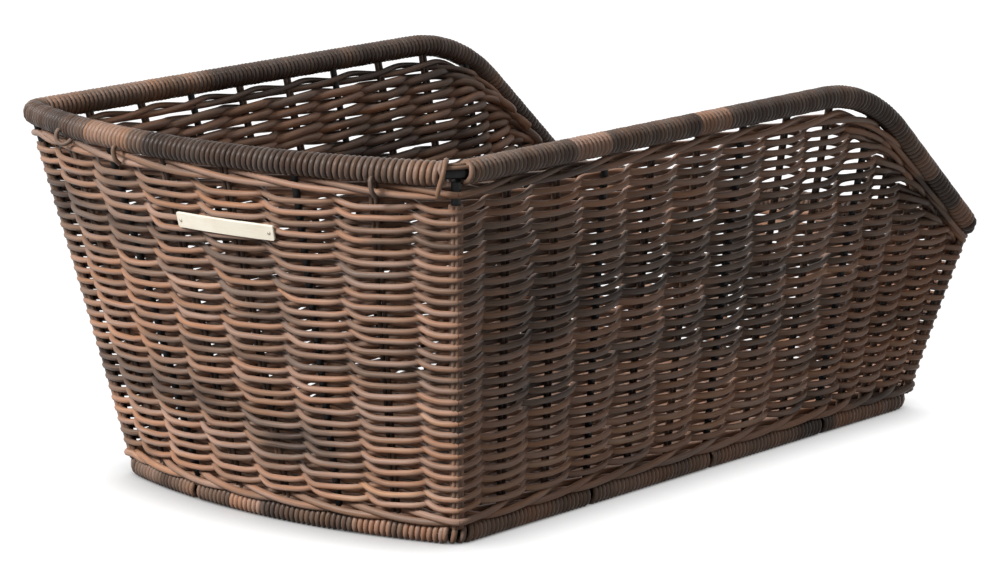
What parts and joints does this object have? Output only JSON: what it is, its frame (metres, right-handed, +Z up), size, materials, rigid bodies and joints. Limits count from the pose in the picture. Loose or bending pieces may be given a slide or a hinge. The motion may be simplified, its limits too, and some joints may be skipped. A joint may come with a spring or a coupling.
{
  "type": "bicycle basket",
  "caption": "Open woven rear-carrier bicycle basket with flared walls, a bowed rear face and a rim that slopes down to a low front end.",
  "frame": {"origin": "on the surface that the basket stands on, under the middle of its box", "axes": "+Z up, +Y towards the low front end under the saddle, -Y towards the high rear face, +X to the right seen from behind"},
  "size_m": [0.3152, 0.5052, 0.2101],
  "materials": {
    "steel": "satin black",
    "weave": "satin brown, mottled",
    "winding": "satin brown and charcoal bands",
    "plate": "satin ivory"
  },
  "bodies": {
    "root": {"rim_rod": "steel", "base_rod": "steel", "rear_upright_1": "steel", "rear_upright_2": "steel", "right_upright_1": "steel", "right_upright_2": "steel", "right_upright_3": "steel", "front_upright_1": "steel", "front_upright_2": "steel", "left_upright_1": "steel", "left_upright_2": "steel", "left_upright_3": "steel", "corner_post_rear_left": "steel", "corner_post_rear_right": "steel", "corner_post_front_right": "steel", "corner_post_front_left": "steel", "floor_rod_1": "steel", "floor_rod_2": "steel", "floor_rod_3": "steel", "woven_wall_rear": "weave", "woven_wall_right": "weave", "woven_wall_front": "weave", "woven_wall_left": "weave", "woven_floor": "weave", "rim_winding_rear_1": "winding", "rim_winding_rear_2": "winding", "rim_winding_rear_3": "winding", "rim_winding_right_1": "winding", "rim_winding_right_2": "winding", "rim_winding_right_3": "winding", "rim_winding_right_4": "winding", "rim_winding_front_1": "winding", "rim_winding_front_2": "winding", "rim_winding_front_3": "winding", "rim_winding_left_1": "winding", "rim_winding_left_2": "winding", "rim_winding_left_3": "winding", "rim_winding_left_4": "winding", "base_winding_rear_1": "winding", "base_winding_rear_2": "winding", "base_winding_rear_3": "winding", "base_winding_right_1": "winding", "base_winding_right_2": "winding", "base_winding_right_3": "winding", "base_winding_right_4": "winding", "base_winding_front_1": "winding", "base_winding_front_2": "winding", "base_winding_front_3": "winding", "base_winding_left_1": "winding", "base_winding_left_2": "winding", "base_winding_left_3": "winding", "base_winding_left_4": "winding", "name_plate": "plate", "plate_pin_right": "steel", "plate_pin_left": "steel"}
  },
  "joints": []
}
